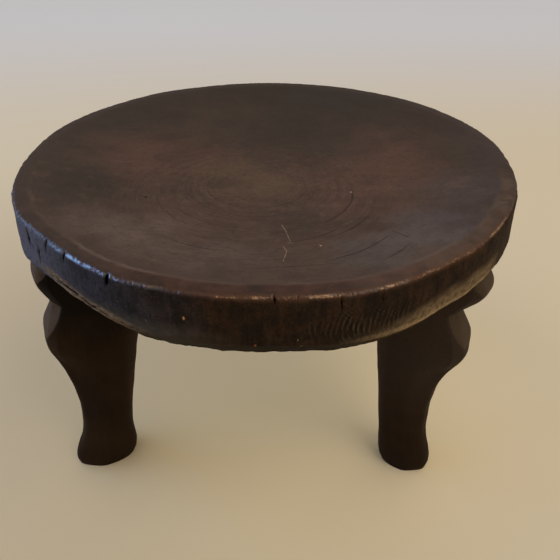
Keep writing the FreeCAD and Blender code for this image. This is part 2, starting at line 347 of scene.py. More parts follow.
def edge_wear(blank):
    """How far the outer rim edge is worn and chipped at a vertex."""
    to_edge = math.hypot(blank.xy.length - SEAT_RADIUS + 1, blank.z - RIM_TOP + 1)
    near = 1 - ease(to_edge, *WEAR_FADE)
    if near <= 0:
        return 0.0
    chips = sum(depth * max(0, grain(blank, size, seed) + share) for depth, size, seed, share in EDGE_CHIPS)
    middle, half_turn = WORN_FLAT
    flat = bell(turn_from(angle_of(blank), middle), half_turn)
    return near * near * (WEAR_DEPTH + chips * (1 - flat / 2)) + near * flat * WORN_FLAT_DEPTH


def ring_radius(x, y):
    """Radius of the growth ring through a point; the ring centres drift to the front of the pith."""
    across, along = x - PITH[0], y - PITH[1]
    lean = -RING_DRIFT * along
    rest = 1 - RING_DRIFT ** 2
    return (math.sqrt(lean ** 2 + rest * (across ** 2 + along ** 2)) - lean) / rest


def wall_rings(blank):
    """Height of the raised growth rings that the wall lays open at the front right, -1 to 1."""
    middle_angle, middle_height = WALL_RINGS
    half_turn, half_height = WALL_RING_ZONE
    turned, raised = turn_from(angle_of(blank), middle_angle), blank.z - middle_height
    along = math.radians(turned) * SEAT_RADIUS
    bow = WALL_RING_BOW * raised ** 2 + WALL_RING_SLOPE * raised + waves(WALL_RING_WAVES, blank)
    zone = bell(turned, half_turn) * bell(raised + waves(WALL_RING_EDGE, blank), half_height)
    zone *= ease(blank.xy.length, *RING_FADE) * (WALL_RING_SHARE + waves(WALL_RING_BREAKS, blank))
    return -zone * math.sin((along - bow) * WALL_RING_PITCH)


def seat_depth(blank, gap, rings):
    """How far a vertex of the seat is carved, worn or cracked inwards."""
    radius, height = blank.xy.length, blank.z
    on_top = ease(height, *TOP_FADE) * (1 - ease(radius, *DISH_FADE))
    on_side = ease(radius, *SIDE_FADE) * (1 - ease(height, *EDGE_FADE))
    below = (1 - ease(height, *UNDER_FADE)) * (1 - on_top)
    dish_rings = DISH_RING_HEIGHT * math.sin(ring_radius(blank.x, blank.y) * DISH_RING_PITCH)
    long_grain = Vector((blank.x, blank.y, blank.z * WALL_GRAIN_STRETCH))
    depth = on_top * (waves(DISH_WAVES, blank) + dish_rings)
    depth += on_side * (waves(WALL_WAVES, blank) + waves(WALL_GRAIN, long_grain))
    depth += below * waves(UNDER_WAVES, blank)
    return depth + edge_wear(blank) + gap - WALL_RING_HEIGHT * rings


def make_seat():
    """The round seat: dished top, rim band, wall with drying checks and drawn-in lip."""
    bm = even_seat()
    blank_layer = bm.verts.layers.float_vector.new("blank")
    gap_layer = bm.verts.layers.float.new("gap")
    ring_layer = bm.verts.layers.float.new("wall_ring")
    for vert in bm.verts:
        vert[blank_layer] = vert.co
        vert[gap_layer] = max(check_depth(vert.co), lip_split(vert.co))
        vert[ring_layer] = wall_rings(vert.co)
        carve_outline(vert)
    push_in(bm, lambda vert: seat_depth(vert[blank_layer], vert[gap_layer], vert[ring_layer]))
    for vert in bm.verts:
        vert.co.x = min(max(vert.co.x, -RIM_LIMIT), RIM_LIMIT)
        vert.co.y = min(max(vert.co.y, -RIM_LIMIT), RIM_LIMIT)
    return new_piece("seat_carved", bm)


# Legs

LEG_SEGMENTS = 144
LEG_CUTS = 230
LEG_HEAD = UNDERSIDE + 8.0
LEG_TURN = {"leg_left": 210, "leg_right": 330, "leg_back": 90}
# Stations from the floor up: height, softness of the corner there, thickness, share of the thickness that
# the flat outer end keeps, and how square the section is
LEG_STATIONS = {
    "sole": (0, 1, 25, 0.66, 2.5),
    "toe": (6.4, 5, 28, 0.7, 2.6),
    "ankle": (27.8, 9, 26, 0.62, 3.2),
    "shin": (62, 16, 27.5, 0.5, 3.8),
    "calf": (84, 8, 28.9, 0.4, 4.4),
    "knee_bottom": (102.6, 5, 30, 0.3, 5),
    "knee_top": (119.3, 5, 30.5, 0.62, 7),
    "notch": (134.4, 1.5, 30.5, 0.3, 7),
    "knob": (149.5, 5, 31, 0.5, 7),
    "brow": (156.5, 4, 31, 0.6, 7),
    "head": (LEG_HEAD, 1, 31, 0.72, 6),
}
LEG_LEVELS, LEG_SOFTNESS, LEG_THICKNESS, LEG_END_SHARES, LEG_SQUARENESS = zip(*LEG_STATIONS.values())
# Radii of each leg's outer and inner face at the stations
LEG_OUTER = {
    "leg_left": (145.5, 147.5, 137.5, 137.5, 142.8, 150, 148.5, 141.5, 149, 148.6, 145),
    "leg_right": (129, 131, 125, 125, 131.8, 143.4, 142, 134.5, 148.7, 150.2, 144),
    "leg_back": (134, 136, 130, 130, 136.4, 146, 144.5, 137, 149, 149, 145),
}
LEG_INNER = {
    "leg_left": (107.5, 104.5, 106.5, 102, 98, 94.5, 91.5, 89, 86.4, 85, 83.5),
    "leg_right": (98, 95.5, 94.5, 91.8, 90.1, 88.7, 87.6, 86.5, 85.6, 85, 84),
    "leg_back": (101.5, 99, 100, 97, 94.6, 92.5, 90.5, 88.8, 87, 86, 85),
}
SOFT_SAMPLES = 4
# The outer end narrows softly low down and along a flat facet higher up
TAPER_FADE = (0.15, 1)
FACET_START = 0.83
FACET_HEIGHTS = (84, 106)
FACET_SHARE = 0.55
# Tool marks and grain: height, size, seed
LEG_WAVES = ((0.45, 19, 21.3), (0.16, 7, 4.4))
LEG_GRAIN = ((0.07, 2.6, 8.1),)
LEG_GRAIN_STRETCH = 0.12
# Height below which a leg's end is dressed flat for the floor
SOLE_FLAT = 0.4


def between_stations(values, height):
    """Value at a height on the straight lines between a leg's stations."""
    height = min(max(height, LEG_LEVELS[0]), LEG_LEVELS[-1])
    for low, high, first, second in zip(LEG_LEVELS, LEG_LEVELS[1:], values, values[1:]):
        if height <= high:
            return first + (second - first) * (height - low) / (high - low)
    return values[-1]


def rounded(values, height):
    """The same with the corners softened, by averaging over the softness at that height."""
    reach = between_stations(LEG_SOFTNESS, height) / SOFT_SAMPLES
    steps = range(-SOFT_SAMPLES, SOFT_SAMPLES + 1)
    return sum(between_stations(values, height + reach * step) for step in steps) / len(steps)


def leg_section(name, height):
    """Outer and inner radius, half thickness, end share, squareness and facet of a leg at a height."""
    return (
        rounded(LEG_OUTER[name], height), rounded(LEG_INNER[name], height),
        rounded(LEG_THICKNESS, height) / 2, between_stations(LEG_END_SHARES, height),
        rounded(LEG_SQUARENESS, height), ease(height, *FACET_HEIGHTS),
    )


def squared(value, square):
    """Coordinate of a round section made squarer, with its sign kept."""
    return math.copysign(abs(value) ** (2 / square), value)


def place_on_leg(along, across, section, turn):
    """Takes a place on the unit section, -1 to 1 each way, to the leg's surface."""
    outer, inner, half_thick, end_share, _, crisp = section
    soft, facet = ease(along, *TAPER_FADE), max(0, (along - FACET_START) / (1 - FACET_START))
    taper = 1 - (1 - end_share) * (soft + (facet - soft) * FACET_SHARE * crisp)
    radius = (outer + inner) / 2 + along * (outer - inner) / 2
    outwards = Vector((math.cos(turn), math.sin(turn), 0))
    sideways = Vector((-math.sin(turn), math.cos(turn), 0))
    return outwards * radius + sideways * (across * half_thick * taper)


def leg_depth(vert):
    """Shallow adze facets and grain on a leg."""
    long_grain = Vector((vert.co.x, vert.co.y, vert.co.z * LEG_GRAIN_STRETCH))
    return waves(LEG_WAVES, vert.co) + waves(LEG_GRAIN, long_grain)


def make_leg(name):
    """One plank-like leg: knob, notch, knee, shank and flared oval foot."""
    bm = bmesh.new()
    bmesh.ops.create_cone(bm, cap_ends=True, segments=LEG_SEGMENTS, radius1=1, radius2=1, depth=1)
    upright = [edge for edge in bm.edges if abs(edge.verts[0].co.z - edge.verts[1].co.z) > 0.5]
    bmesh.ops.subdivide_edges(bm, edges=upright, cuts=LEG_CUTS)
    turn = math.radians(LEG_TURN[name])
    sections = {}
    outer_layer = bm.verts.layers.float.new("outer")
    for vert in bm.verts:
        height = (vert.co.z + 0.5) * LEG_HEAD
        level = round(height, 3)
        if level not in sections:
            sections[level] = leg_section(name, height)
        along, across = (squared(value, sections[level][4]) for value in vert.co.xy)
        vert[outer_layer] = along
        vert.co = place_on_leg(along, across, sections[level], turn)
        vert.co.z = height
    bmesh.ops.recalc_face_normals(bm, faces=bm.faces)
    push_in(bm, leg_depth)
    for vert in bm.verts:
        if vert.co.z < SOLE_FLAT:
            vert.co.z = 0.0
    return new_piece(name + "_carved", bm)


# Materials

BUMP_DISTANCE = 0.3 * MM


class Value:
    """One socket of a material, so that shader maths can be written as a formula."""

    def __init__(self, finish, socket):
        self.finish = finish
        self.socket = socket

    def math(self, operation, *terms):
        return self.finish.node("ShaderNodeMath", {"operation": operation}, dict(enumerate(terms)))

    def sine(self):
        return self.math("SINE", self)

    def out(self, name):
        """Another output of the same node."""
        return Value(self.finish, self.socket.node.outputs[name])

    def __add__(self, other):
        return self.math("ADD", self, other)

    def __sub__(self, other):
        return self.math("SUBTRACT", self, other)

    def __rsub__(self, other):
        return self.math("SUBTRACT", other, self)

    def __mul__(self, other):
        return self.math("MULTIPLY", self, other)

    def __truediv__(self, other):
        return self.math("DIVIDE", self, other)

    def __rtruediv__(self, other):
        return self.math("DIVIDE", other, self)

    def __pow__(self, power):
        return self.math("POWER", self, power)

    def __rpow__(self, base):
        return self.math("POWER", base, self)

    __radd__ = __add__
    __rmul__ = __mul__


class Finish:
    """The nodes of a material or of the surroundings, with the one method that adds any node."""

    def __init__(self, owner):
        owner.use_nodes = True
        self.owner = owner
        self.tree = owner.node_tree
        self.tree.nodes.clear()

    def node(self, kind, settings=None, sockets=None, output=0):
        """Adds a node of a type, with its settings and its sockets' values or links, and gives an output."""
        added = self.tree.nodes.new(kind)
        for name, value in (settings or {}).items():
            setattr(added, name, value)
        for name, value in (sockets or {}).items():
            if isinstance(value, Value):
                self.tree.links.new(value.socket, added.inputs[name])
            else:
                added.inputs[name].default_value = value
        return Value(self, added.outputs[output]) if added.outputs else None

    def step(self, value, low, high):
        """0 below the low value, 1 above the high one; the other way round if low is the larger."""
        sockets = {"Value": value, "From Min": low, "From Max": high}
        return self.node("ShaderNodeMapRange", {"interpolation_type": "SMOOTHSTEP"}, sockets)

    def window(self, value, start, full, wane, end):
        """1 from full to wane, 0 before the start and after the end."""
        return self.step(value, start, full) * self.step(value, end, wane)

    def around(self, value, middle, half_width):
        """1 where a value is at the middle, 0 beyond the half width."""
        offset = value - middle
        return self.step(offset.math("ABSOLUTE", offset), half_width, 0)

    def clamp(self, value):
        return self.node("ShaderNodeClamp", {}, {"Value": value})

    def bearing(self, x, y):
        """Angle about the axis in degrees, 0 to 360."""
        angle = y.math("ARCTAN2", y, x) * math.degrees(1)
        return angle.math("WRAP", angle, 360, 0)

    def mottle(self, vector, size, detail=3.0, rough=0.55):
        """Noise of 0 to 1 with features of a size in the vector's units."""
        sockets = {"Vector": vector, "Scale": 1 / size, "Detail": detail, "Roughness": rough}
        return self.node("ShaderNodeTexNoise", {}, sockets)

    def add_noises(self, vector, table):
        """Keeps the noises of a table under their names."""
        for name, values in table.items():
            setattr(self, name, self.mottle(vector, *values))

    def stretch(self, vector, scale):
        """A vector scaled along each axis."""
        return self.node("ShaderNodeVectorMath", {"operation": "MULTIPLY"}, {0: vector, 1: scale})

    def distance(self, vector, point):
        return self.node("ShaderNodeVectorMath", {"operation": "DISTANCE"}, {0: vector, 1: point}, "Value")

    def blend(self, factor, first, second):
        """Colour that goes from the first to the second with the factor; a triple is a tone."""
        first, second = (tone(*colour) if isinstance(colour, tuple) else colour for colour in (first, second))
        return self.node("ShaderNodeMix", {"data_type": "RGBA"}, {0: factor, 6: first, 7: second}, 2)

    def layers(self, colour, table):
        """Lays tones over a colour, each where a named value lies between two levels."""
        for name, low, high, strength, top in table:
            colour = self.blend(self.step(getattr(self, name), low, high) * strength, colour, top)
        return colour

    def split(self, vector):
        """The three parts of a vector."""
        x = self.node("ShaderNodeSeparateXYZ", {}, {0: vector}, "X")
        return x, x.out("Y"), x.out("Z")

    def place(self):
        """The place on the object, in millimetres."""
        return self.stretch(self.node("ShaderNodeTexCoord", output="Object"), (1 / MM, 1 / MM, 1 / MM))

    def attribute(self, name, output="Fac"):
        return self.node("ShaderNodeAttribute", {"attribute_name": name}, {}, output)

    def bump(self, strength, height):
        sockets = {"Strength": strength, "Distance": BUMP_DISTANCE, "Height": height}
        return self.node("ShaderNodeBump", {}, sockets)

    def principled(self, sockets):
        """Sets a Principled shader on the material's output and gives the material."""
        shader = self.node("ShaderNodeBsdfPrincipled", {}, sockets)
        self.node("ShaderNodeOutputMaterial", {"is_active_output": True}, {"Surface": shader})
        return self.owner


# Noises of the seat's wood: size in millimetres, detail and, where it isn't the usual one, roughness
SEAT_NOISES = {
    "large": (55, 3), "middle": (24, 4), "medium": (11, 4), "fine": (2.6, 4, 0.65), "speck": (1.1, 3, 0.7),
}
SEAT_STREAK = (2.4, 4, 0.6)
SEAT_ARCS = (1, 3, 0.6)
# How finely the arcs change round the pith and from ring to ring
ARCS_ROUND = 9
ARCS_OUTWARDS = 0.7
# Heights and radii between which the tones of the side, the rim's edge and the underside come in
SIDE_TOP = (RIM_TOP - 0.6, RIM_TOP - 2.2)
SIDE_FROM = (DISH_EDGE - 3, DISH_EDGE - 1)
NEAR_RIM = (RIM_TOP - 8, RIM_TOP - 6)
BELOW = (UNDERSIDE + 2.5, UNDERSIDE + 0.6)

# Dish. Tones are written as on a colour chart. A row of layers holds the value that its tone follows, the
# levels where it begins and is full, its strength and the tone.
DISH_WARM = (71, 49, 36)
DISH_BASE = (("large", 0.3, 0.7, 1, (62, 45, 35)),)
# Tones that come in towards one side: direction, shift by the large and the middle noise, where the tone
# begins and is full, strength, tone
# The dark tone towards the back (first row) is partly painted shade, and the grey one towards the front (last
# row) partly a painted reflection
DISH_SIDES = (
    ((0, 1), 60, 50, -10, 120, 0.85, (40, 34, 27)),
    ((1, 0), 60, 0, -55, -120, 0.75, (49, 40, 33)),
    ((1, -0.4), 0, 0, 75, 150, 0.7, (49, 40, 38)),
    ((0, 1), 0, 40, -60, -115, 0.6, (58, 45, 36)),
)
# Cloudy patches: place, size, strength, tone. The pale brown patches in front and the grey ones at the front
# right are painted highlights; the others are tones of the wood.
PALE_HIGHLIGHT_BROWN = (80, 65, 55)
OLIVE_BROWN = (35, 30, 22)
RED_BROWN = (88, 56, 42)
OCHRE_BROWN = (80, 60, 41)
SHEEN_GREY = (68, 62, 62)
DISH_PATCHES = (
    ((-62, -84, 190), 44, 0.7, PALE_HIGHLIGHT_BROWN), ((-20, -108, 192), 34, 0.5, PALE_HIGHLIGHT_BROWN),
    ((84, -98, 193), 42, 0.5, PALE_HIGHLIGHT_BROWN), ((-92, -78, 191), 28, 0.4, PALE_HIGHLIGHT_BROWN),
    ((-104, -30, 190), 36, 0.6, OLIVE_BROWN), ((112, 16, 190), 38, 0.4, OLIVE_BROWN),
    ((10, 60, 184), 40, 0.35, OLIVE_BROWN), ((22, -62, 186), 26, 0.35, OLIVE_BROWN),
    ((-84, 20, 188), 52, 0.28, RED_BROWN), ((80, 20, 188), 50, 0.24, RED_BROWN),
    ((-46, 34, 184), 36, 0.2, RED_BROWN), ((60, -26, 185), 36, 0.3, RED_BROWN),
    ((-10, -2, 182), 50, 0.5, OCHRE_BROWN), ((-38, 88, 189), 50, 0.14, OCHRE_BROWN),
    ((92, -76, 190), 42, 0.4, SHEEN_GREY), ((60, -102, 191), 34, 0.4, SHEEN_GREY),
    ((112, -30, 190), 36, 0.15, SHEEN_GREY),
)
DISH_CLOUDS = (("middle", 0.42, 0.7, 0.4, (46, 33, 25)),)
# Paler tone at the front and darker at the back: partly tones of the wood, partly painted reflection in front
# and painted shade at the back
DISH_FRONT_TONE = (84, 62, 49)
DISH_BACK_TONE = (54, 42, 34)
DISH_GRAIN = (("fine", 0.48, 0.78, 0.5, (36, 25, 19)),)
DISH_ARC_DARK = (38, 27, 21)
DISH_ARC_PALE = (94, 74, 62)
RING_TONE = (30, 20, 14)
RING_LINE_TONE = (17, 11, 8)
CRACK_SHADE_TONE = (7, 5, 4)
PALE_SCRATCH_TONE = (150, 122, 92)
DARK_SCRATCH_TONE = (18, 12, 9)

# Thin dark growth rings on the dish: ring radius, first and last angle about the pith, strength
DARK_RINGS = (
    (58.5, 300, 345, 0.9), (59, 205, 250, 0.4), (67.5, 282, 308, 0.8), (72, 300, 326, 0.8),
    (75, 243, 268, 0.6), (90, 288, 316, 0.9), (103, 298, 315, 0.8), (90.5, 270, 290, 0.6),
    (40, 190, 300, 0.35), (48, 20, 120, 0.25), (31, 200, 330, 0.35), (24, 0, 160, 0.25),
    (52, 225, 275, 0.3), (83, 268, 285, 0.4), (66, 150, 205, 0.25), (108, 120, 170, 0.25),
)
DARK_RING_WIDTH = 0.8
DARK_RING_END = 8
# Hair-thin marks on the dish, from one point to another, seen from above: start, end, width, strength
PALE_SCRATCHES = (
    ((13.1, -63.1), (15.9, -71.7), 0.3, 0.5), ((15.9, -71.7), (18.6, -84.5), 0.28, 0.35),
    ((15.4, -91.5), (17.6, -97.5), 0.28, 0.4), ((17.6, -97.5), (16.3, -110.9), 0.3, 0.4),
    ((17.5, -86.5), (20.5, -87.3), 0.4, 0.3),
    ((132.3, -53.4), (136.4, -51.8), 0.7, 0.8), ((136, -47.4), (139.3, -46.6), 0.5, 0.6),
)
DARK_SCRATCHES = (
    ((72.2, -74.9), (79.5, -84.6), 0.5, 0.7), ((44, -113.2), (20, -117.6), 0.45, 0.5),
    ((-72.5, -34.6), (-69, -36), 0.7, 0.6),
)
# Small dots on the dish: place, size, tone
DISH_DOTS = (
    ((32.8, -21.6, 182.6), 0.7, (135, 116, 96)), ((52.5, -18.9, 184.3), 0.8, (130, 112, 94)),
    ((34.6, -90.7, 189), 0.8, (150, 132, 112)), ((-68.1, -36.2, 186.4), 1.3, (14, 9, 7)),
)

# Rim band: each wood's lighter and darker tone, and the angles where a stretch begins, is full, wanes, ends
RIM_PLAIN = ((56, 41, 33), (42, 31, 26))
RIM_RED = ((60, 37, 26), (40, 26, 19))
RIM_OLIVE = ((70, 53, 40), (52, 38, 28))
RIM_RED_STRETCH = (236, 258, 332, 352)
RIM_OLIVE_STRETCH = (296, 330, 350, 359)
RIM_EDGE = (DISH_EDGE - 2.4, DISH_EDGE + 1.4)
RIM_FULL_FROM = (196, 238)
# Painted highlight on the rim band at the front right: middle angle and half width, then its tone
RIM_HIGHLIGHT_PATCH = (302, 22)
RIM_HIGHLIGHT_TONE = (100, 78, 63)
RIM_GRAIN = (("fine", 0.5, 0.8, 0.5, (76, 54, 41)),)
RIDGE_RADIUS = DISH_EDGE - 1.0
RIDGE_WIDTH = 2.4
RIDGE_LEFT_STRETCH = (222, 236, 244, 262)
RIDGE_TONE = (116, 95, 82)
# Worn outer edge: the stretch where it is bare, and its place across the edge
EDGE_BARE_STRETCH = (248, 272, 316, 345)
EDGE_MIDDLE = 0.3
EDGE_SOFT_TONE = (94, 62, 41)
EDGE_BARE_TONE = (160, 124, 88)

# Wall: nearly black brown, and slate grey where it faces the left, which is a painted reflection of the
# bluish window light
WALL_BROWN = (46, 28, 15)
WALL_BROWN_LAYERS = (
    ("medium", 0.36, 0.66, 1, (22, 13, 8)),
    ("middle", 0.45, 0.7, 0.6, (50, 30, 17)),
    ("streak", 0.5, 0.68, 0.35, (56, 40, 25)),
    ("streak", 0.47, 0.36, 0.45, (12, 8, 5)),
    ("fine", 0.4, 0.72, 0.6, (12, 8, 5)),
    ("speck", 0.5, 0.62, 0.5, (10, 6, 4)),
    ("speck", 0.46, 0.34, 0.18, (64, 44, 28)),
)
WALL_SHEEN_SLATE = (41, 43, 53)
WALL_SHEEN_LAYERS = (
    ("medium", 0.35, 0.7, 1, (26, 27, 33)),
    ("turn", 240, 216, 0.75, (84, 86, 99)),
    ("speck", 0.44, 0.3, 0.3, (98, 98, 102)),
    ("streak", 0.5, 0.75, 0.4, (60, 60, 66)),
    ("fine", 0.5, 0.7, 0.6, (10, 10, 14)),
)
# Angles where the painted slate-grey reflection comes in and where it goes out again
SHEEN_START = (165, 195)
SHEEN_END = (268, 236)
WALL_RING_LAYERS = (("wall_ring", -0.15, -0.6, 0.65, (12, 8, 5)),)
WALL_RIDGE_TONE = (80, 63, 44)
# Painted light low on the wall, where it faces the bright floor: a pale crescent at the front right, and a
# pale band along the lower edge at the left
RIGHT_LIP_STRETCH = (284, 306, 324, 332)
RIGHT_LIP_HEIGHT = 1.5
RIGHT_LIP_RISE = 8
RIGHT_LIP_RISE_STRETCH = (288, 312)
RIGHT_FOOT = (WALL_FOOT + 3.5, WALL_FOOT + 0.5)
RIGHT_LIP_LIT_TONES = ((118, 97, 70), (86, 69, 48))
RIGHT_FOOT_LIT_TONES = ((146, 122, 89), (118, 97, 69))
# Painted light from the floor on the lower wall at the left: the pale band, and the greyer zone above it
LEFT_LIP_STRETCH = (219, 228, 242, 256)
LEFT_LIP_ANGLE = 228
LEFT_LIP_TOP = 177.4
LEFT_LIP_SLOPE = -0.28
LEFT_LIP_LIT_TONES = ((116, 99, 80), (70, 58, 47))
LEFT_LIT_STRETCH = (222, 232, 254, 272)
LEFT_LIT_HEIGHTS = (WALL_FOOT + 11, WALL_FOOT + 3)
LEFT_LIT_TONE = (72, 66, 57)
# The foot of the wall: heights and radii between which it darkens
LIP_DARK = (WALL_FOOT - 0.5, WALL_FOOT - 2.5)
LIP_DRAWN_IN = (SEAT_RADIUS - 0.3, SEAT_RADIUS - 1.8)
LIP_DARK_TONE = (20, 14, 10)
# Spots on the wall: angle, height, size, tone
WALL_SPOTS = (
    (259.5, 181.5, 0.6, (178, 122, 72)), (272.1, 168.5, 0.6, (130, 70, 46)),
    (279.6, 172, 0.45, (130, 112, 88)), (280.3, 168, 0.45, (120, 104, 80)),
    (302.3, 178, 0.5, (150, 132, 90)), (303.3, 189.5, 0.6, (124, 110, 100)),
    (290.5, 186, 0.35, (120, 96, 64)), (252, 176, 0.5, (62, 56, 58)),
    (308, 193, 0.4, (70, 40, 30)), (30, 180, 0.6, (110, 84, 58)),
    (88, 174, 0.6, (100, 78, 54)), (150, 186, 0.6, (108, 88, 64)),
)

# Underside: roughly hewn
UNDER_BROWN = (46, 34, 25)
UNDER_BASE = (("middle", 0.3, 0.7, 1, (32, 24, 18)),)
UNDER_CUT_TONE = (60, 46, 34)
UNDER_GRAIN = (("fine", 0.45, 0.7, 0.5, (18, 13, 10)),)

# Polish on the seat: weight on top, how much less on the side, and on the glossy edge at the left
COAT_ON_TOP = 0.16
COAT_SIDE_DROP = 0.07
COAT_ON_EDGE = 0.06
COAT_GLOSS = 0.9
COAT_ROUGHNESS = 0.2
COAT_IOR = 1.9
GLOSS_STRETCH = (150, 185, 242, 268)
GLOSS_BRIGHT = (226, 232)
GLOSS_FAINT = (232, 222)
SEAT_ROUGHNESS = 0.6
SEAT_BUMP = 0.5


class SeatWood(Finish):
    """The seat's material with the values that its tones follow, in millimetres and degrees."""

    def __init__(self, owner):
        super().__init__(owner)
        self.here = self.place()
        self.x, self.y, _ = self.split(self.here)
        blank_x, blank_y, self.height = self.split(self.attribute("blank", "Vector"))
        self.radius = (blank_x * blank_x + blank_y * blank_y) ** 0.5
        self.turn = self.bearing(blank_x, blank_y)
        self.gap = self.attribute("gap")
        self.wall_ring = self.attribute("wall_ring")
        self.add_noises(self.here, SEAT_NOISES)
        self.streak = self.mottle(self.stretch(self.here, (1, 1, 0.12)), *SEAT_STREAK)
        self.add_rings(blank_x - PITH[0], blank_y - PITH[1])
        below_rim = self.step(self.height + self.uneven(fine=1.6), *SIDE_TOP)
        self.on_side = below_rim * self.step(self.radius, *SIDE_FROM)
        self.corner = self.radius - self.height + (RIM_TOP - SEAT_RADIUS)
        self.near_rim = self.step(self.height, *NEAR_RIM)
        self.below = self.step(self.height, *BELOW)

    def add_rings(self, across, along):
        """Growth ring and angle about the pith, and noise that runs along the rings."""
        rest = 1 - RING_DRIFT ** 2
        lean = along * -RING_DRIFT
        self.ring = ((lean * lean + (across * across + along * along) * rest) ** 0.5 - lean) / rest
        self.ring_turn = self.bearing(across, along)
        round_pith = {"X": across / self.ring * ARCS_ROUND, "Y": along / self.ring * ARCS_ROUND}
        arcs = self.node("ShaderNodeCombineXYZ", {}, {**round_pith, "Z": self.ring * ARCS_OUTWARDS})
        self.arcs = self.mottle(arcs, *SEAT_ARCS)

    def uneven(self, **sizes):
        """Shift that makes an edge uneven: the sum of named noises, each up to half its size either way."""
        return sum((getattr(self, name) - 0.5) * size for name, size in sizes.items())


def patch(seat, place, size):
    """1 inside a cloudy patch about a place on the seat, 0 outside."""
    return seat.step(seat.distance(seat.here, place) + seat.uneven(middle=size), size, size * 0.1)


def dish_colour(seat):
    """Worn brown of the dish: warm in the middle, greyer in front, darkest at the back. The darker back is
    partly painted shade, the greyer front partly a painted reflection, and the pale and grey patches in front
    are painted highlights.
    """
    colour = seat.layers(DISH_WARM, DISH_BASE)
    for (across, along), large, middle, start, full, strength, side in DISH_SIDES:
        towards = seat.x * across + seat.y * along + seat.uneven(large=large, middle=middle)
        colour = seat.blend(seat.step(towards, start, full) * strength, colour, side)
    # Some of these patches are painted highlights: the pale brown ones in front and the grey sheen at the
    # front right
    for place, size, strength, cloud in DISH_PATCHES:
        colour = seat.blend(patch(seat, place, size) * strength, colour, cloud)
    colour = seat.layers(colour, DISH_CLOUDS)
    # Partly painted reflection in front and painted shade at the back
    in_front = seat.step(seat.medium, 0.5, 0.8) * seat.step(seat.y, 60, -30)
    colour = seat.blend(in_front * 0.35, colour, DISH_FRONT_TONE)
    at_back = seat.step(seat.medium, 0.45, 0.75) * seat.step(seat.y, 0, 60)
    colour = seat.blend(at_back * 0.35, colour, DISH_BACK_TONE)
    near_pith = seat.step(seat.ring, 120, 40) * 0.75 + 0.25
    colour = seat.blend(seat.step(seat.arcs, 0.5, 0.7) * near_pith * 0.3, colour, DISH_ARC_DARK)
    colour = seat.blend(seat.step(seat.arcs, 0.47, 0.3) * near_pith * 0.2, colour, DISH_ARC_PALE)
    return seat.layers(colour, DISH_GRAIN)


def ring_tone(seat):
    """Soft light and dark growth rings about the pith, 0 to 1."""
    wavy = seat.ring + seat.uneven(large=8, medium=1.6)
    slow = (wavy * 0.9).sine() * 0.5 + 0.5
    quick = (wavy * 2.3).sine() * 0.5 + 0.5
    return slow * 0.6 + quick * 0.4


def ring_lines(seat):
    """The few thin dark rings that stand out on the dish, 0 to 1."""
    wavy = seat.ring + seat.uneven(medium=1.6)
    lines = 0.0
    for radius, first, last, strength in DARK_RINGS:
        on_line = seat.around(wavy, radius, DARK_RING_WIDTH)
        length = seat.window(seat.ring_turn, first, first + DARK_RING_END, last - DARK_RING_END, last)
        lines = on_line * length * (seat.fine * 0.8 + 0.6) * strength + lines
    return lines


def scratch(seat, start, end, width):
    """1 on a hair-thin line between two points of the dish, seen from above."""
    run = Vector((*end, 0)) - Vector((*start, 0))
    flat_here = seat.stretch(seat.here, (1, 1, 0))
    offset = seat.node("ShaderNodeVectorMath", {"operation": "SUBTRACT"}, {0: flat_here, 1: (*start, 0)})
    along = seat.node("ShaderNodeVectorMath", {"operation": "DOT_PRODUCT"}, {0: offset, 1: run}, "Value")
    share = seat.clamp(along / run.length_squared)
    foot = seat.node("ShaderNodeVectorMath", {"operation": "SCALE"}, {0: run, "Scale": share})
    return seat.step(seat.distance(offset, foot) + seat.uneven(fine=0.5), width, width * 0.3)


def dish_marks(seat, colour, rings, lines):
    """Growth rings, scratches, dots and the pin knot, laid over the dish's colour."""
    show = seat.step(seat.mottle(seat.here, 30, 3), 0.35, 0.62) * seat.window(seat.ring, 6, 30, 45, 120)
    colour = seat.blend(rings * show * 0.27, colour, RING_TONE)
    colour = seat.blend(seat.clamp(lines * 0.75), colour, RING_LINE_TONE)
    for scratches, line_tone in ((PALE_SCRATCHES, PALE_SCRATCH_TONE), (DARK_SCRATCHES, DARK_SCRATCH_TONE)):
        for start, end, width, strength in scratches:
            colour = seat.blend(scratch(seat, start, end, width) * strength, colour, line_tone)
    for place, size, dot in DISH_DOTS:
        colour = seat.blend(seat.step(seat.distance(seat.here, place), size, size * 0.5), colour, dot)
    return colour


def rim_colour(seat, colour):
    """Darker band round the dish, redder in front and olive at the right, with a painted highlight at the
    front right.
    """
    cloudy = seat.step(seat.medium, 0.35, 0.7)
    plain, red, olive = (seat.blend(cloudy, *tones) for tones in (RIM_PLAIN, RIM_RED, RIM_OLIVE))
    band = seat.blend(seat.window(seat.turn, *RIM_RED_STRETCH), plain, red)
    band = seat.blend(seat.window(seat.turn, *RIM_OLIVE_STRETCH), band, olive)
    # Painted highlight on the rim band at the front right
    rim_highlight = seat.around(seat.turn, *RIM_HIGHLIGHT_PATCH) * seat.step(seat.middle, 0.3, 0.6)
    band = seat.blend(rim_highlight * 0.35, band, RIM_HIGHLIGHT_TONE)
    band = seat.layers(band, RIM_GRAIN)
    on_rim = seat.step(seat.radius + seat.uneven(medium=3), *RIM_EDGE)
    return seat.blend(on_rim * (seat.step(seat.turn, *RIM_FULL_FROM) * 0.4 + 0.5), colour, band)


def rim_ridge(seat, colour):
    """Soft pale ridge at the rim's inner edge, plainest in front and at the front left."""
    ridge = seat.around(seat.radius + seat.uneven(medium=4), RIDGE_RADIUS, RIDGE_WIDTH)
    strength = seat.step(seat.y, 0, -70) * 0.12 + seat.window(seat.turn, *RIDGE_LEFT_STRETCH) * 0.16
    return seat.blend(ridge * strength * seat.step(seat.middle, 0.35, 0.62), colour, RIDGE_TONE)


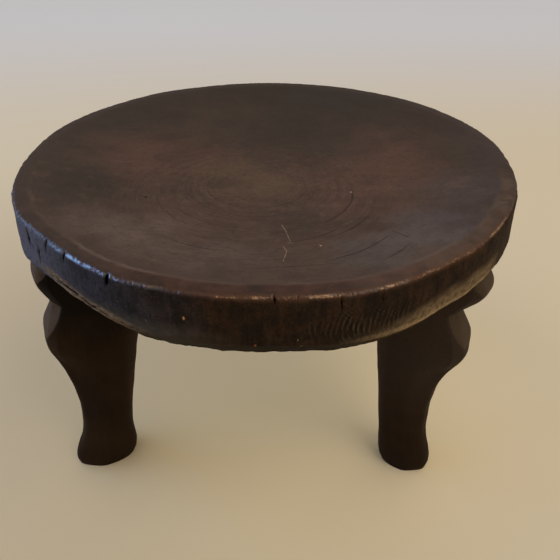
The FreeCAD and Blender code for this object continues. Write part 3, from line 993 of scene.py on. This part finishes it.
def worn_line(seat, colour):
    """Thin broken line of bare wood along the rim's outer edge at the front and right."""
    broken = seat.mottle(seat.stretch(seat.here, (1, 1, 2)), 1.3, 5, 0.75)
    stretches = seat.mottle(seat.here, 15, 2)
    corner = seat.corner + seat.uneven(medium=3)
    bare_and_lit = seat.window(seat.turn, *EDGE_BARE_STRETCH)
    soft = seat.around(corner, EDGE_MIDDLE, 4) * bare_and_lit * 0.35 * seat.near_rim
    colour = seat.blend(soft, colour, EDGE_SOFT_TONE)
    line = seat.around(corner, EDGE_MIDDLE, 1.5) * seat.step(broken + (stretches - 0.5) * 0.8, 0.5, 0.66)
    return seat.blend(line * (bare_and_lit * 0.8 + 0.06) * seat.near_rim, colour, EDGE_BARE_TONE)


def wall_colour(seat):
    """Nearly black brown wall, with a painted reflection of the bluish window light in slate grey where it
    faces the left.
    """
    brown = seat.layers(WALL_BROWN, WALL_BROWN_LAYERS)
    painted_sheen = seat.layers(WALL_SHEEN_SLATE, WALL_SHEEN_LAYERS)
    # Painted reflection: slate grey, lightest at the far left, that stands for the bluish window light
    # mirrored in the wall
    before_end = seat.step(seat.turn + seat.uneven(middle=16), *SHEEN_END)
    faces_left = before_end * seat.step(seat.turn, *SHEEN_START)
    return seat.blend(faces_left * 0.94, brown, painted_sheen)


def right_lip(seat, colour):
    """Raised growth rings on the wall at the front right, and painted light of the bright floor below them: a
    pale olive crescent low on the wall and a paler line at its foot.
    """
    ridges = seat.step(seat.wall_ring, 0.15, 0.75) * seat.step(seat.medium, 0.25, 0.6)
    colour = seat.layers(colour, WALL_RING_LAYERS)
    colour = seat.blend(ridges * 0.6, colour, WALL_RIDGE_TONE)
    # Painted light: the lower wall at the front right turns pale olive and its foot paler still, as if lit
    # from the floor
    within = seat.window(seat.turn, *RIGHT_LIP_STRETCH)
    top = seat.step(seat.turn, *RIGHT_LIP_RISE_STRETCH) * RIGHT_LIP_RISE + WALL_FOOT + RIGHT_LIP_HEIGHT
    low = top - seat.height + seat.uneven(medium=7, fine=5)
    grey = seat.blend(seat.step(seat.fine, 0.4, 0.62), *RIGHT_LIP_LIT_TONES)
    colour = seat.blend(seat.step(low, -5, 3) * within * 0.8, colour, grey)
    foot = seat.step(seat.height + seat.uneven(medium=4, fine=3), *RIGHT_FOOT)
    bare_and_lit = seat.blend(seat.step(seat.speck, 0.4, 0.65), *RIGHT_FOOT_LIT_TONES)
    return seat.blend(foot * within * 0.85, colour, bare_and_lit)


def left_lip(seat, colour):
    """Painted light of the bright floor low on the wall at the left: a greyer lower wall and a pale streaky
    band along the lower edge.
    """
    low_lit = seat.step(seat.height + seat.uneven(medium=8), *LEFT_LIT_HEIGHTS)
    low_lit = low_lit * seat.window(seat.turn, *LEFT_LIT_STRETCH)
    colour = seat.blend(low_lit * 0.4, colour, LEFT_LIT_TONE)
    top = (seat.turn - LEFT_LIP_ANGLE) * LEFT_LIP_SLOPE + LEFT_LIP_TOP
    low = top - seat.height + seat.uneven(medium=5, fine=2)
    band = seat.window(low, -1.2, 1.6, 7, 10) * seat.window(seat.turn, *LEFT_LIP_STRETCH)
    streaks = seat.mottle(seat.stretch(seat.here, (0.25, 0.25, 1)), 0.9, 3, 0.6)
    bare_and_lit = seat.blend(seat.step(streaks, 0.42, 0.62), *LEFT_LIP_LIT_TONES)
    return seat.blend(band * 0.85, colour, bare_and_lit)


def wall_spot(seat, angle, height, size):
    """1 inside a small spot on the wall, a little taller than wide, 0 outside."""
    turn = math.radians(angle)
    flatter = (1, 1, 0.6)
    place = (math.cos(turn) * SEAT_RADIUS, math.sin(turn) * SEAT_RADIUS, height * flatter[2])
    near = seat.distance(seat.stretch(seat.here, flatter), place)
    return seat.step(near + seat.uneven(fine=size), size * 1.6, size * 0.6)


def side_colour(seat):
    """The wall with its lips, its dark drawn-in foot and the small spots."""
    colour = right_lip(seat, wall_colour(seat))
    foot = seat.step(seat.height, *LIP_DARK) * seat.step(seat.radius, *LIP_DRAWN_IN)
    colour = seat.blend(foot * 0.7, colour, LIP_DARK_TONE)
    colour = left_lip(seat, colour)
    for angle, height, size, spot in WALL_SPOTS:
        colour = seat.blend(wall_spot(seat, angle, height, size), colour, spot)
    return colour


def under_colour(seat):
    """Dull, roughly hewn wood of the underside."""
    cuts = seat.mottle(seat.stretch(seat.here, (0.35, 1, 1)), 7, 3, 0.6)
    colour = seat.layers(UNDER_BROWN, UNDER_BASE)
    colour = seat.blend(seat.step(cuts, 0.45, 0.65) * 0.6, colour, UNDER_CUT_TONE)
    return seat.layers(colour, UNDER_GRAIN)


def seat_colour(seat, rings, lines):
    """All the tones of the seat, from the dish to the cracks."""
    colour = dish_marks(seat, dish_colour(seat), rings, lines)
    colour = rim_ridge(seat, rim_colour(seat, colour))
    colour = seat.blend(seat.on_side, colour, side_colour(seat))
    colour = worn_line(seat, colour)
    colour = seat.blend(seat.below, colour, under_colour(seat))
    # Painted shade: near black inside the drying checks and splits
    return seat.blend(seat.step(seat.gap, 0.25, 1), colour, CRACK_SHADE_TONE)


def seat_coat(seat):
    """Weight of the polish: thin all over, strong on the edge that faces the left, none in cracks."""
    faces_left = seat.window(seat.turn, *GLOSS_STRETCH)
    edge = seat.around(seat.corner + seat.uneven(medium=2), 0.6, 2.6) * faces_left * seat.near_rim
    gloss = seat.step(seat.mottle(seat.here, 1.6, 4, 0.7) + seat.uneven(medium=0.6), 0.4, 0.56)
    gloss = gloss * seat.step(seat.turn, *GLOSS_BRIGHT) + seat.step(seat.turn, *GLOSS_FAINT) * 0.04
    coat = edge * (gloss * COAT_GLOSS + COAT_ON_EDGE) + COAT_ON_TOP - seat.on_side * COAT_SIDE_DROP
    return coat * seat.step(seat.gap, 0.6, 0.1) * (1 - seat.below * 0.8)


def seat_relief(seat, rings, lines):
    """Fine relief of the surface: grain, rings on top, rougher on the wall and the underside."""
    on_wall = (seat.speck * 1.1 + seat.streak * 0.6 + seat.medium * 0.8) * seat.on_side
    on_top = (rings * 0.15 - lines * 0.6 + seat.arcs * 0.1) * (1 - seat.below)
    return seat.fine * 0.5 + on_wall + on_top + seat.medium * seat.below * 1.5


def seat_finish():
    """Dark satin wood of the seat, with rings, worn rim, glossy left side and dry right lip."""
    seat = SeatWood(bpy.data.materials.new("seat_wood_finish"))
    rings, lines = ring_tone(seat), ring_lines(seat)
    return seat.principled({
        "Base Color": seat_colour(seat, rings, lines),
        "Roughness": SEAT_ROUGHNESS + seat.uneven(medium=0.2, fine=0.12),
        "Normal": seat.bump(SEAT_BUMP, seat_relief(seat, rings, lines)),
        "Coat Weight": seat_coat(seat),
        "Coat Roughness": COAT_ROUGHNESS, "Coat IOR": COAT_IOR, "Specular IOR Level": 0,
    })


# Wood of the legs
LEG_NOISES = {"large": (34, 3), "medium": (9, 4), "fine": (1.6, 4, 0.65)}
LEG_BROWN = (41, 27, 15)
LEG_BASE = (
    ("large", 0.35, 0.7, 1, (29, 19, 11)),
    ("streak", 0.5, 0.8, 0.35, (50, 36, 24)),
)
LEG_RIGHT_LIT_TONE = (56, 46, 38)
LEG_INNER_LIT_TONE = (68, 56, 45)
LEG_SHADE_TONE = (10, 7, 5)
LEG_FACET_TONES = ((69, 55, 41), (78, 64, 52))
LEG_FINE = (("fine", 0.5, 0.75, 0.4, (16, 11, 7)),)
LEG_ROUGHNESS = 0.6
LEG_SPECULAR = 0.05
LEG_BUMP = 0.35


class LegWood(Finish):
    """The legs' material with the values that its tones follow, in millimetres."""

    def __init__(self, owner):
        super().__init__(owner)
        here = self.place()
        self.x, _, self.z = self.split(here)
        self.outer = self.attribute("outer")
        self.add_noises(here, LEG_NOISES)
        self.streak = self.mottle(self.stretch(here, (1, 1, 0.1)), 2.2, 4)
        self.knee = self.window(self.z, 106, 128, 134, 137)
        self.knob = self.step(self.z, 148, 160)


def leg_colour(leg):
    """Nearly black brown, paler on the outer facets of the knees and knobs, which are partly worn wood and
    partly painted light, with painted light on the right leg and on the inner faces.
    """
    colour = leg.layers(LEG_BROWN, LEG_BASE)
    # Painted light: the right leg's faces are paler, as if lit from the left
    right_leg_lit = leg.step(leg.x, 40, 100) * leg.step(leg.z, 30, 110)
    colour = leg.blend(right_leg_lit * 0.65, colour, LEG_RIGHT_LIT_TONE)
    # Painted light on the legs' inner end faces
    inner = leg.step(leg.outer, -0.5, -0.9) * leg.step(leg.z, 20, 60)
    colour = leg.blend(inner * 0.4, colour, LEG_INNER_LIT_TONE)
    left = leg.step(leg.x, 0, -60) * leg.step(leg.z, 105, 140)
    colour = leg.blend(left * 0.85, colour, LEG_SHADE_TONE)
    # The paler facets are partly worn wood and partly painted light, palest on the legs at the left
    facet = leg.step(leg.outer + (leg.knee + leg.knob) * 0.16, 1, 1.04)
    worn_and_lit = leg.blend(leg.step(leg.x, 60, -60), *LEG_FACET_TONES)
    colour = leg.blend(facet * (leg.step(leg.medium, 0.2, 0.5) * 0.5 + 0.4), colour, worn_and_lit)
    return leg.layers(colour, LEG_FINE)


def leg_finish():
    """Matt wood of the legs."""
    leg = LegWood(bpy.data.materials.new("leg_wood_finish"))
    relief = leg.medium * 0.4 + leg.streak * 0.4 + leg.fine * 0.3
    return leg.principled({
        "Base Color": leg_colour(leg),
        "Roughness": LEG_ROUGHNESS + (leg.medium - 0.5) * 0.2,
        "Normal": leg.bump(LEG_BUMP, relief),
        "Specular IOR Level": LEG_SPECULAR,
    })


# Stage, light and camera

FLOOR_SIZE = 4
FLOOR_CREAM = (189, 173, 146)
FLOOR_FRONT = (178, 160, 130)
FLOOR_PAINTED_LIGHT = (216, 193, 150)
FLOOR_FAR = (190, 188, 190)
# Plain backdrop, and the light that the surroundings give: weakest and how much stronger at the brightest
BACKDROP = tone(192, 187, 183)
SKY_COLOUR = (1, 0.97, 0.92, 1)
SKY_LEAST = 0.38
SKY_MORE = 0.8
# Lamps: name, place and size in metres, power, colour
LAMPS = (
    ("key_front", (0.75, -0.65, 1.2), (0.9, 0.9), 6, (1, 0.95, 0.88)),
    ("window_left", (-1.15, 0.1, 0.6), (0.8, 0.5), 8, (0.17, 0.37, 0.76)),
    ("window_gap", (-1.05, -0.5, 0.55), (0.3, 0.4), 2, (0.2, 0.3, 0.76)),
)
LAMP_AIM = (0, 0, 0.12)
CAMERA_PLACE = (0.03089, -0.40145, 0.37179)
CAMERA_TILT = 56.628
CAMERA_TURN = 3.169
CAMERA_LENS = 45
CAMERA_SENSOR = 36
CAMERA_NEAR = 0.01


def floor_paint():
    """Pale cream that turns to a cooler pale grey behind the stool, with painted light near the stool that
    makes its shadow paler.
    """
    paint = Finish(bpy.data.materials.new("floor_paint"))
    here = paint.place()
    x, y, _ = paint.split(here)
    left = paint.step(x, 250, -350) * paint.step(y, 500, 100)
    front = paint.step(paint.distance(here, (-60, -280, 0)), 300, 60)
    # Painted light: a warmer, paler floor near the stool that lifts its shadow
    near = paint.step(paint.distance(here, (20, -10, 0)), 230, 40)
    colour = paint.blend(left, FLOOR_CREAM, FLOOR_FRONT)
    colour = paint.blend(front, colour, FLOOR_FRONT)
    colour = paint.blend(near, colour, FLOOR_PAINTED_LIGHT)
    colour = paint.blend(paint.step(y, 380, 1250), colour, FLOOR_FAR)
    return paint.principled({"Base Color": colour, "Roughness": 0.9, "Specular IOR Level": 0.1})


def make_floor():
    """Wide level floor under the stool."""
    bm = bmesh.new()
    bmesh.ops.create_grid(bm, x_segments=1, y_segments=1, size=FLOOR_SIZE)
    mesh = bpy.data.meshes.new("floor")
    bm.to_mesh(mesh)
    bm.free()
    mesh.materials.append(floor_paint())
    floor = add_object("floor", mesh)


def make_lamp(name, place, size, power, colour):
    """Soft rectangular lamp that looks at the stool."""
    lamp = bpy.data.lights.new(name, "AREA")
    lamp.shape = "RECTANGLE"
    lamp.size, lamp.size_y = size
    lamp.energy = power
    lamp.color = colour
    holder = add_object(name, lamp)
    holder.location = place
    aim = Vector(LAMP_AIM) - Vector(place)
    holder.rotation_euler = aim.to_track_quat("-Z", "Y").to_euler()


def make_surroundings():
    """Pale surroundings, brighter behind and above the stool than in front of it."""
    world = bpy.data.worlds.new("surroundings")
    sky = Finish(world)
    _, y, z = sky.split(sky.node("ShaderNodeTexCoord", output="Generated"))
    bright = sky.step(y * 0.8 + z * 0.6, -0.9, 0.9) * SKY_MORE + SKY_LEAST
    light = sky.node("ShaderNodeBackground", {}, {"Color": SKY_COLOUR, "Strength": bright})
    shown = sky.node("ShaderNodeBackground", {}, {"Color": BACKDROP, "Strength": 1.0})
    camera_ray = sky.node("ShaderNodeLightPath", output="Is Camera Ray")
    seen = camera_ray.math("MAXIMUM", camera_ray, camera_ray.out("Is Glossy Ray"))
    surface = sky.node("ShaderNodeMixShader", {}, {0: seen, 1: light, 2: shown})
    sky.node("ShaderNodeOutputWorld", {}, {"Surface": surface})
    bpy.context.scene.world = world


def make_camera():
    """Camera at the photograph's place and angle."""
    lens = bpy.data.cameras.new("camera")
    lens.lens = CAMERA_LENS
    lens.sensor_width = CAMERA_SENSOR
    lens.clip_start = CAMERA_NEAR
    camera = add_object("camera", lens)
    camera.location = CAMERA_PLACE
    camera.rotation_euler = (math.radians(CAMERA_TILT), 0, math.radians(CAMERA_TURN))
    bpy.context.scene.camera = camera


def dress(piece, material, node):
    """Gives a finished piece its material and body, and hides the CAD part that it stands for."""
    piece.data.materials.append(material)
    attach(piece, "root")
    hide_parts(node)


dress(make_seat(), seat_finish(), "seat")
leg_wood = leg_finish()
for leg_name in LEG_TURN:
    dress(make_leg(leg_name), leg_wood, leg_name)
make_floor()
make_surroundings()
for lamp_values in LAMPS:
    make_lamp(*lamp_values)
make_camera()
bpy.context.scene.view_settings.view_transform = "Standard"
